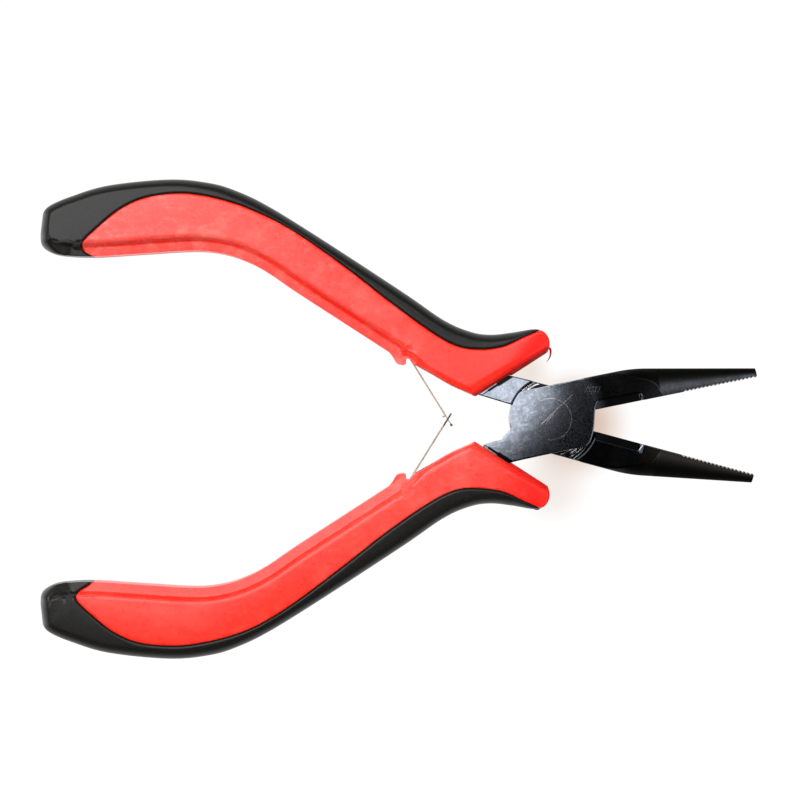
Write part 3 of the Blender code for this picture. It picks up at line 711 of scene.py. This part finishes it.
def red_finish():
    """Hard red plastic with a fine spark-eroded texture. Its pale mottling shows as painted sheen, strongest
    towards the tail and on the upper grip, and the horn is painted a deeper red where the sheen falls away.
    """
    red = Finish("red_plastic_fine", RED)
    clouds = red.noise(6.0, 5.0, 0.65)
    speckle = red.noise(0.7, 4.0, 0.7)
    scuffs = red.noise(2.2, 5.0, 0.7, (1.0, 2.2, 1.0))
    ahead, aside, up = red.parts(red.place)
    upper = red.ramp(aside, -5.0, 5.0)
    lower = red.maths("SUBTRACT", 1.0, upper)
    ledge = red.ramp(red.maths("ABSOLUTE", up), 3.7, 4.6, 1.0, 0.0)
    # Painted sheen: how much paler the mottling shows, by place on the upper and lower grips, and less on the
    # ledge.
    above = red.maths("ADD", red.ramp(ahead, -15.0, 24.0, 1.0, 0.06), red.ramp(ahead, -62.0, -10.0, 0.45, 0.0))
    above = red.times(above, red.maths("MULTIPLY_ADD", ledge, -0.55, 1.0))
    below = red.times(red.ramp(ahead, -25.0, 2.0, 0.34, 0.68), red.ramp(ahead, 12.0, 26.0, 1.0, 0.05))
    painted_sheen_share = red.maths("MULTIPLY_ADD", upper, red.maths("SUBTRACT", above, below), below)
    middle = red.times(red.ramp(ahead, -25.0, 0.0), red.ramp(ahead, 14.0, 24.0, 0.2, 0.0))
    # Painted sheen: the lower grip's middle is painted paler.
    red.tint(red.times(middle, lower), (1.0, 0.12, 0.1))
    # Painted shade: the horn is painted a deeper red, where the sheen falls away.
    red.tint(red.ramp(ahead, 15.0, 23.0, 0.0, 0.9), (0.95, 0.006, 0.002))
    # The mottling is the plastic's own texture; how pale it shows is painted sheen.
    for mask, share, pale in ((red.between(speckle, 0.46, 0.72), 0.12, (1.0, 0.35, 0.27)),
                              (red.between(scuffs, 0.5, 0.72), 0.16, (1.0, 0.42, 0.34)),
                              (red.between(clouds, 0.45, 0.68), 0.12, (1.0, 0.5, 0.4))):
        red.tint(red.times(mask, share, painted_sheen_share), pale)
    red.roughness = red.maths("MULTIPLY_ADD", red.times(upper, ledge), 0.33,
                              red.maths("MULTIPLY_ADD", speckle, 0.2, 0.2))
    red.raised(red.noise(0.35, 2.0), 0.3, 0.03)
    red.raised(red.noise(1.4, 3.0), 0.25, 0.06)
    return red.finished()


def rubber_finish():
    """Soft black overmould, matte, with dust in its grain."""
    rubber = Finish("black_rubber_fine", RUBBER_BLACK)
    speckle = rubber.noise(0.4, 3.0, 0.6)
    rubber.tint(rubber.between(speckle, 0.55, 0.8, 0.0, 0.3), (0.035, 0.033, 0.032))
    rubber.roughness = rubber.maths("MULTIPLY_ADD", speckle, 0.16, 0.22)
    rubber.raised(rubber.noise(0.25, 2.0), 0.3, 0.03)
    rubber.surface.inputs["Specular IOR Level"].default_value = 0.28
    return rubber.finished()


def spring_finish():
    """Cold-rolled spring strip with a bronze tint and rolling lines along it."""
    strip = Finish("spring_strip", SPRING_BRONZE, 1.0)
    lines = strip.noise(0.3, 2.0, 0.5, (0.2, 0.2, 3.0))
    strip.tint(strip.between(lines, 0.4, 0.7, 0.0, 0.6), (0.2, 0.15, 0.12))
    strip.roughness = strip.maths("MULTIPLY_ADD", lines, 0.2, 0.22)
    # Darker brown marks where the leaves hook together.
    strip.marked(HOOK_DARK_MARKS, HOOK_DARK_BROWN)
    return strip.finished()


# Forged halves.

def jaw_depth(x):
    """How far the jaw's back stands from the closing line, with a bend where the taper starts."""
    slope = (JAW_TIP_DEPTH - JAW_ROOT_DEPTH) / (JAW_TIP_X - TAPER_START_X)
    past = x - TAPER_START_X
    if past < -TAPER_BLEND:
        return JAW_ROOT_DEPTH
    if past < TAPER_BLEND:
        return JAW_ROOT_DEPTH + slope * (past + TAPER_BLEND) ** 2 / (4 * TAPER_BLEND)
    return JAW_ROOT_DEPTH + slope * past


def jaw_ring(x, ridge_line):
    """The jaw's cross-section: bevelled or flat inside, milled flats above and below, a rounded back."""
    inner, depth = CLOSED_JAW_GAP, jaw_depth(x)
    if x < FLAT_END_X:
        ridge = min(np.interp(x, ridge_line[:, 0], ridge_line[:, 1]), depth - 0.12)
        top = HALF_THICKNESS
    else:
        ridge = 0.0
        top = (HALF_THICKNESS + (TIP_HALF_THICKNESS - HALF_THICKNESS) * (x - FLAT_END_X)
               / (JAW_TIP_X - FLAT_END_X))
    bevel = min(1.0, max(0.0, (CUTTER_END_X + CUTTER_FACE - x) / CUTTER_FACE))
    corner = inner + CUTTER_BEVEL * bevel
    knee = top - CUTTER_BEVEL_FALL * bevel
    shoulder = max(ridge, corner + 0.03)
    start = math.acos(shoulder * BACK_SHARE / depth)
    end = math.acos(BACK_SHARE)
    height = top / math.sin(start)
    angle = start + (end - start) * (np.arange(1, BACK_STEPS + 1) / BACK_STEPS) ** 0.9
    back = np.column_stack([depth / BACK_SHARE * np.cos(angle), height * np.sin(angle)])
    edge = back[-1, 1]
    upper = np.vstack([[(inner, knee * 0.5), (inner, knee - 0.05), (corner, top), (shoulder, top)], back,
                       [(depth + 0.02, edge * 0.9), (depth + 0.02, edge * 0.4)]])
    lower = (upper * (1, -1))[::-1]
    section = np.vstack([[(inner, 0.0)], upper, [(depth + 0.02, 0.0)], lower])
    return np.column_stack([np.full(len(section), x), -section[:, 0], section[:, 1]])


def jaw(name, jaw_set):
    """The jaw with its cutter, from inside the joint to its tip, before the teeth are cut."""
    ridge_line = curve(RIDGE, 0.1)
    stations = np.concatenate([np.arange(JAW_INNER_END_X, JAW_ROOT_END_X, JAW_ROOT_SPACING),
                               np.arange(CUTTER_END_X, JAW_TIP_X, JAW_NOSE_SPACING), [JAW_TIP_X]])
    made = loft(name, [jaw_ring(x, ridge_line) for x in stations])
    made.data.transform(Matrix.Rotation(jaw_set, 4, "Z"))
    return made


def comb(name, jaw_set):
    """The zigzag that the teeth are cut with, from above to below."""
    outline = [(JAW_TIP_X + 1, 1.0), (TEETH_START_X, 1.0)]
    for tooth in range(TOOTH_COUNT + 1):
        x = TEETH_START_X + tooth * TOOTH_PITCH
        outline += [(x, -CLOSED_JAW_GAP), (x + TOOTH_PITCH * 0.5, -CLOSED_JAW_GAP - TOOTH_DEPTH)]
    outline.append((JAW_TIP_X + 1, -CLOSED_JAW_GAP))
    return prism(name, turned(outline, jaw_set), -HALF_THICKNESS, HALF_THICKNESS)


def plate_outline(side, jaw_set):
    """The joint plate with its jaw root and the start of its tang."""
    right = [(8.6, -PLATE_HALF_WIDTH), (8.6, -CUTTER_BEVEL - 0.1), (7.9, -0.3)] + PLATE_END
    left = np.vstack([arc(PLATE_TANG_RADIUS, 174, 231, 32), [(-4.0, -PLATE_HALF_WIDTH)]])
    bar = np.vstack([[(-6.5, BAR_OUTER_Y), (-13.2, BAR_OUTER_Y)], BAR_INNER[side]])
    return np.vstack([turned(right, jaw_set), bar, turned(left, jaw_set)])


def tang_rings(stations, margin):
    """Upright rectangles through (along, aside, width, half height) stations, larger by a margin."""
    stations = np.array(stations, float)
    middle = stations[:, :2]
    along = np.gradient(middle, axis=0)
    along /= np.linalg.norm(along, axis=1)[:, None]
    middle[-1] += along[-1] * margin
    side = np.column_stack([-along[:, 1], along[:, 0]]) * (stations[:, 2:3] / 2 + margin)
    rings = []
    for p, s, half in zip(middle, side, stations[:, 3] + margin):
        rings.append([(*(p + s), -half), (*(p + s), half), (*(p - s), half), (*(p - s), -half)])
    return [np.array(ring) for ring in rings]


def forging(name, side, jaw_set):
    """One forged half: plate, jaw and tang in one piece of steel."""
    half = prism(name, plate_outline(side, jaw_set), -HALF_THICKNESS, HALF_THICKNESS)
    tang = loft(name + "_tang", tang_rings(TANG, 0.0))
    combined(half, "UNION", jaw(name + "_jaw", jaw_set), tang)
    swept = np.vstack([arc(JAW_SHOULDER_RADIUS, -90, 90, 96), arc(TANG_SHOULDER_RADIUS, 90, 270, 96)])
    combined(half, "DIFFERENCE", prism(name + "_lap", swept, -LAP_GAP / 2, HALF_THICKNESS + 1))
    thinned(domed(softened(half, STEEL_VOXEL, STEEL_SMOOTHING)), STEEL_TRIANGLES)
    floor = -HALF_THICKNESS + RIVET_HEAD_THICKNESS
    hole = spun(name + "_hole", [(RIVET_HEAD_RADIUS, -HALF_THICKNESS - 1), (RIVET_HEAD_RADIUS, floor),
                                 (RIVET_SHANK_RADIUS, floor + 0.001), (RIVET_SHANK_RADIUS, HALF_THICKNESS)])
    return combined(half, "DIFFERENCE", hole, comb(name + "_comb", jaw_set))


def rivet(name):
    """The joint rivet: flush heads with a slightly rounded edge."""
    shank, head = RIVET_SHANK_RADIUS - RIVET_PLAY, RIVET_HEAD_RADIUS - RIVET_PLAY / 2
    under, top = HALF_THICKNESS - RIVET_HEAD_THICKNESS, HALF_THICKNESS
    side = [(shank, 0.0), (shank, under), (head, under + RIVET_PLAY)]
    for angle in np.radians([0, 30, 60, 90]):
        side.append((head - RIVET_EDGE_ROUND * (1 - math.cos(angle)),
                     top - RIVET_EDGE_ROUND * (1 - math.sin(angle))))
    side += [(r, top) for r in (3.2, 2.8, 2.4, 2.0, 1.6, 1.2, 0.8, 0.4)]
    return domed(spun(name, [(r, -z) for r, z in reversed(side)] + side[1:]))


# Grips.

def smooth_step(value, start, end):
    """From 0 at start to 1 at end, level at both."""
    along = np.clip((value - start) / (end - start), 0, 1)
    return along * along * (3 - 2 * along)


def fall(away, reach, depth):
    """How far a quarter-round edge has dropped, at a distance in from it."""
    return depth * (1 - np.sqrt(1 - (1 - np.clip(away / reach, 0, 1)) ** 2))


def step_down(away, reach, depth):
    """How far a hollow fillet has dropped, at a distance in from its foot."""
    return depth * smooth_step(1 - away / reach, 0, 1 / FILLET_FOOT) / smooth_step(FILLET_FOOT, 0, 1)


class Grip:
    """One handle's grip: its edges, its outline, and its height over each plane point."""

    def __init__(self, side):
        self.inner_front = evenly(curve(INNER_FRONT, 0.2), 0.2)
        self.inner_rear = np.vstack([curve(NUB, 0.15), curve(INNER_REAR, 0.2)])
        self.fillet_line = curve(FILLET_LINE + INNER_REAR, 0.2)
        self.outer = curve(OUTER, 0.2)
        self.tail = np.vstack([self.inner_rear[-1:], self.outer[-1:]])
        self.front = np.vstack([self.inner_front[:1], self.outer[:1]])
        seam = curve(SEAM, 0.2)
        reach = np.minimum(1, np.abs(seam[:, 0] - SEAM_DRIFT_CENTRE_X) / SEAM_DRIFT_REACH)
        seam[:, 1] += SEAM_DRIFT[side] * (1 - reach ** 2)
        seam += smooth_step(seam[:, :1], *SEAM_TAIL) * SEAM_TAIL_SHIFT[side]
        s1, o1, first = crossing(seam, self.outer)
        s2, i2, last = crossing(seam[::-1], self.inner_rear)
        self.seam = np.vstack([[first], seam[s1 + 1:len(seam) - 1 - s2], [last]])
        self.red = np.vstack([self.inner_front, NOTCH, self.inner_rear[:i2 + 1], self.seam[::-1],
                              self.outer[:o1 + 1][::-1]])
        self.black = np.vstack([self.seam, self.inner_rear[i2 + 1:], self.outer[o1 + 1:][::-1]])

    def height(self, points):
        """Half thickness: the flat face less every edge's own fall, smoothly joined."""
        outer = distance(points, self.outer)
        front = distance(points, self.inner_front)
        rear = distance(points, self.inner_rear)
        face = distance(points, self.front)
        horn = smooth_step(points[:, 0], *HORN_X)
        ledge = distance(points, self.fillet_line)
        across = np.clip(outer / CROWN_REACH, 0, 1)
        step = GRIP_HALF_THICKNESS - LEDGE_HALF_THICKNESS
        step += (FRONT_STEP - step) * smooth_step(points[:, 0], *FRONT_STEP_X)
        whole = GRIP_HALF_THICKNESS - RIM_HALF_THICKNESS
        kept = smooth_step(points[:, 0], *LEDGE_FADE)
        lean = 1 + LEDGE_TILT * np.clip(1 - ledge / LEDGE_WIDTH, 0, 1)
        falls = [kept * lean * step_down(np.maximum(ledge - LEDGE_WIDTH, 0), FILLET_WIDTH, step),
                 fall(front, INNER_FRONT_ROUND, INNER_FRONT_DEPTH),
                 kept * fall(rear, INNER_ROUND, INNER_ROUND)
                 + (1 - kept) * fall(rear, TAIL_EDGE_ROUND, whole),
                 fall(outer, OUTER_ROUND + (HORN_ROUND - OUTER_ROUND) * horn,
                      OUTER_ROUND_DEPTH + (HORN_ROUND_DEPTH - OUTER_ROUND_DEPTH) * horn),
                 fall(distance(points, self.tail), TAIL_ROUND, whole),
                 fall(np.maximum(face - FRONT_LIP, 0), FRONT_ROUND, FRONT_ROUND_DEPTH)
                 + FRONT_LIP_DEPTH * np.clip(1 - face / FRONT_LIP, 0, 1),
                 CROWN * (1 - across) ** 2,
                 FRONT_FALL * np.clip((points[:, 0] - FRONT_FALL_X) / FRONT_FALL_REACH, 0, 1) ** 2]
        total = np.sum(np.array(falls) ** FALL_BLEND, axis=0) ** (1 / FALL_BLEND)
        return GRIP_HALF_THICKNESS - total / (1 + (total / whole) ** RIM_BLEND) ** (1 / RIM_BLEND)

    def lipped(self, points, radius):
        """The height with its edge rounded off along the seam."""
        near = np.clip(distance(points, self.seam), 0, radius)
        return self.height(points) - (radius - np.sqrt(radius ** 2 - (radius - near) ** 2))


def pocket_tools(name):
    """What the red body leaves free: room for the tang, the leaf's socket and the leaf's pocket."""
    room = loft(name + "_tang_room", tang_rings(TANG_MOUTH + TANG[1:], TANG_ROOM))
    root = leaf_root()
    ends = (-POCKET_HALF_HEIGHT, POCKET_HALF_HEIGHT)
    socket = spun(name + "_socket", [(SOCKET_RADIUS, z) for z in ends], tuple(root), 32)
    clear = LEAF_THICKNESS / 2 + POCKET_CLEARANCE
    opened, folded = (np.array([math.cos(a), math.sin(a)]) for a in (LEAF_ANGLE, LEAF_ANGLE + LEAF_SWING))
    low = root + clear * np.array([opened[1], -opened[0]])
    high = root + clear * np.array([-folded[1], folded[0]])
    outline = [low, low + POCKET_OPEN_REACH * opened, POCKET_MOUTH, high + POCKET_FOLDED_REACH * folded, high]
    return [room, socket, prism(name + "_pocket", outline, *ends)]


def leaf_root():
    """Where the leaf turns, in its half's frame."""
    at = HALF_FRAME["upper"].inverted() @ (Vector(JOINTS["upper_leaf_flex"]["pos_m"]) / MM)
    return np.array([at.x, at.y])


def flash_thread(name, plan):
    """A tapering thread of moulding flash, through plan points from the joint axis in the row frame."""
    line = curve(plan, 0.25)
    line = np.column_stack([line, np.zeros(len(line))])
    along = np.gradient(line, axis=0)
    along /= np.linalg.norm(along, axis=1)[:, None]
    radii = FLASH_RADIUS * (FLASH_BUTT - np.linspace(0, 1, len(line)) ** 2)
    angles = np.radians(np.arange(0, 360, 45))[:, None]
    rings = []
    for point, ahead, radius in zip(line, along, radii):
        side = np.cross(ahead, (0, 0, 1))
        rings.append(point + radius * (np.cos(angles) * side + np.sin(angles) * np.cross(side, ahead)))
    return loft(name, rings)


def grips(side, body, red, rubber):
    """The red body and the black overmould of one handle."""
    grip = Grip(side)
    shell = relief(side + "_grip_shell", grip.red, lambda p: grip.lipped(p, SEAM_ROUND))
    combined(shell, "DIFFERENCE", *pocket_tools(side))
    settle(shell, side, body, [side + "_grip_body"], red, 45)
    cushion = relief(side + "_grip_cushion", grip.black, lambda p: grip.lipped(p, CUSHION_ROUND))
    settle(cushion, side, body, [side + "_grip_overmould"], rubber, 45)


# Leaf springs.

def leaf(side, stations, slot=None):
    """One leaf spring: a strip on edge through tang_rings() stations, and its rolled root."""
    name = side + "_leaf_strip"
    strip = loft(name, tang_rings(evenly(np.array(stations, float), 0.35), 0.0))
    ends = (-LEAF_HALF_WIDTH, LEAF_HALF_WIDTH)
    combined(strip, "UNION", spun(name + "_root", [(LEAF_ROOT_RADIUS, z) for z in ends], steps=24))
    if slot:
        start, end = (LEAF_CROSSING + along for along in slot)
        window = [(start, -1.0), (end, -1.0), (end, 1.0), (start, 1.0)]
        combined(strip, "DIFFERENCE", prism(name + "_slot", window, -SLOT_HALF_WIDTH, SLOT_HALF_WIDTH))
    return strip


def foot_tab(name, low, high):
    """A small tab bent square off the leaf, beside its neck."""
    start, near = LEAF_CROSSING + FOOT_AT, -LEAF_THICKNESS / 2
    end = start + LEAF_THICKNESS
    return prism(name, [(start, near), (end, near), (end, FOOT_LENGTH), (start, FOOT_LENGTH)], low, high)


def hang(strip, side, node, finish):
    """Places a leaf on its axis in the row frame, finished, and hides the imported leaf that it stands in for.
    """
    at_root = Matrix.Translation((*leaf_root(), 0)) @ Matrix.Rotation(LEAF_ANGLE, 4, "Z")
    place = Matrix.Scale(MM, 4) @ HALF_FRAME[side] @ at_root
    dressed(strip, place, finish)
    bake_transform(strip)
    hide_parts(node)


def leaves(finish):
    """The tongued leaf of the upper handle and the slotted leaf of the lower one, hooked together."""
    def station(past, size):
        return (LEAF_CROSSING + past, 0, *size)

    wide = (LEAF_THICKNESS, LEAF_HALF_WIDTH)
    neck = (NECK_THICKNESS, NECK_HALF_WIDTH)
    head = (HEAD_THICKNESS, HEAD_HALF_WIDTH)
    tongued = leaf("upper", [(0, 0, *wide), station(WIDE_END, wide), *(station(past, neck) for past in NECK),
                             *(station(past, head) for past in HEAD)])
    low, high = FOOT_HEIGHTS
    combined(tongued, "UNION", foot_tab("tab_above", low, high), foot_tab("tab_below", -high, -low))
    hang(tongued, "upper", "upper_spring_leaf", finish)
    slotted = leaf("lower", [(0, 0, *wide), station(SLOTTED_END, wide)], SLOT)
    hang(slotted, "lower", "lower_spring_leaf", finish)


# Studio and build.

def panel(name, at, size, turn, radiance):
    """A flat soft light facing down; its power in watts is pi times its area times its radiance."""
    light = bpy.data.lights.new(name, "AREA")
    light.shape = "RECTANGLE"
    light.size, light.size_y = size
    light.energy = math.pi * size[0] * size[1] * radiance
    lamp = bpy.data.objects.new(name, light)
    bpy.context.scene.collection.objects.link(lamp)
    lamp.location = (*at, LIGHT_HEIGHT)
    lamp.rotation_euler = (0, 0, math.radians(turn))
    lamp.visible_camera = False


def flags():
    """Black cards under the lights, which keep them off the horns and the lower handle."""
    black = Finish("black_card", (0.0, 0.0, 0.0)).finished()
    for (left, near), (right, far) in FLAGS:
        card = prism("flag", [(left, near), (right, near), (right, far), (left, far)], *FLAG_HEIGHTS)
        card.data.materials.append(black)
        card.visible_camera = False


def sky():
    """Dark overhead and bright only close to the table, so that faces turned aside stay deep."""
    world = bpy.data.worlds.new("studio")
    bpy.context.scene.world = world
    world.use_nodes = True
    tree = world.node_tree
    place, split, ramp, dimmed = (tree.nodes.new("ShaderNode" + kind)
                                  for kind in ("TexCoord", "SeparateXYZ", "ValToRGB", "MapRange"))
    stops = ramp.color_ramp.elements
    for stop, (height, colour) in zip(stops, (SKY[0], SKY[-1])):
        stop.position, stop.color = height, (*colour, 1)
    for height, colour in SKY[1:-1]:
        stops.new(height).color = (*colour, 1)
    tree.links.new(place.outputs["Generated"], split.inputs[0])
    tree.links.new(split.outputs["Z"], ramp.inputs[0])
    for socket, number in zip(list(dimmed.inputs)[1:5], SKY_DIMMING):
        socket.default_value = number
    tree.links.new(split.outputs["X"], dimmed.inputs[0])
    tree.links.new(dimmed.outputs[0], tree.nodes["Background"].inputs["Strength"])
    tree.links.new(ramp.outputs[0], tree.nodes["Background"].inputs[0])


def studio():
    """A lit white table under soft lights, bright on the left and dim on the right."""
    bpy.ops.mesh.primitive_plane_add(size=TABLE_SIZE)
    floor = bpy.context.object
    floor.name = "floor"
    glow = Finish("lit_table", (1.0, 1.0, 1.0))
    # Painted shadow on the glowing table round the joint.
    for middle, near, far, strength in TABLE_SHADOW_PATCHES:
        away = glow.vectors("MULTIPLY", glow.vectors("SUBTRACT", glow.place, middle), (1, 1, 0))
        glow.tint(glow.between(glow.vectors("LENGTH", away), near, far, strength, 0.0), TABLE_SHADOW_TINT)
    glow.surface.inputs["Base Color"].default_value = (0, 0, 0, 1)
    glow.surface.inputs["Specular IOR Level"].default_value = 0.0
    glow.feed(glow.surface.inputs["Emission Color"], glow.colour)
    glow.surface.inputs["Emission Strength"].default_value = TABLE_GLOW
    floor.data.materials.append(glow.material)
    for light in LIGHTS:
        panel(*light)
    flags()
    sky()
    bpy.context.scene.view_settings.view_transform = "Standard"


def camera():
    """Straight down, from well above."""
    lens = bpy.data.cameras.new("camera")
    lens.sensor_width = SENSOR_WIDTH
    lens.lens = SENSOR_WIDTH * CAMERA_DISTANCE / WIDTH_SEEN
    eye = bpy.data.objects.new("camera", lens)
    bpy.context.scene.collection.objects.link(eye)
    eye.location = tuple(c * MM for c in CAMERA_AT)
    bpy.context.scene.camera = eye


def build():
    """Both halves with their grips, the rivet and the two leaves."""
    camera()
    steel = wear_and_painted_light(steel_finish("blackened_steel_fine")).finished()
    pin_steel = wear_and_painted_light(steel_finish("rivet_steel_fine")).finished()
    red, rubber, strip = red_finish(), rubber_finish(), spring_finish()
    for side, name, node, jaw_set in (("upper", "bottom_half", "jaw_half_bottom", -JAW_SET),
                                      ("lower", "top_half", "jaw_half_top", JAW_SET)):
        body = side + "_handle"
        settle(forging(name, side, jaw_set), side, body, [node], steel)
        grips(side, body, red, rubber)
    for name, side, slot, plan in FLASH:
        thread = flash_thread(name, plan)
        thread.data.transform(HALF_FRAME[side].inverted() @ Matrix.Translation(JOINT_AT))
        settle(thread, side, side + "_handle", [], {"red_plastic": red, "black_rubber": rubber}[slot])
    settle(rivet("rivet"), "lower", "lower_handle", ["joint_rivet"], pin_steel, 8)
    leaves(strip)


build()
studio()
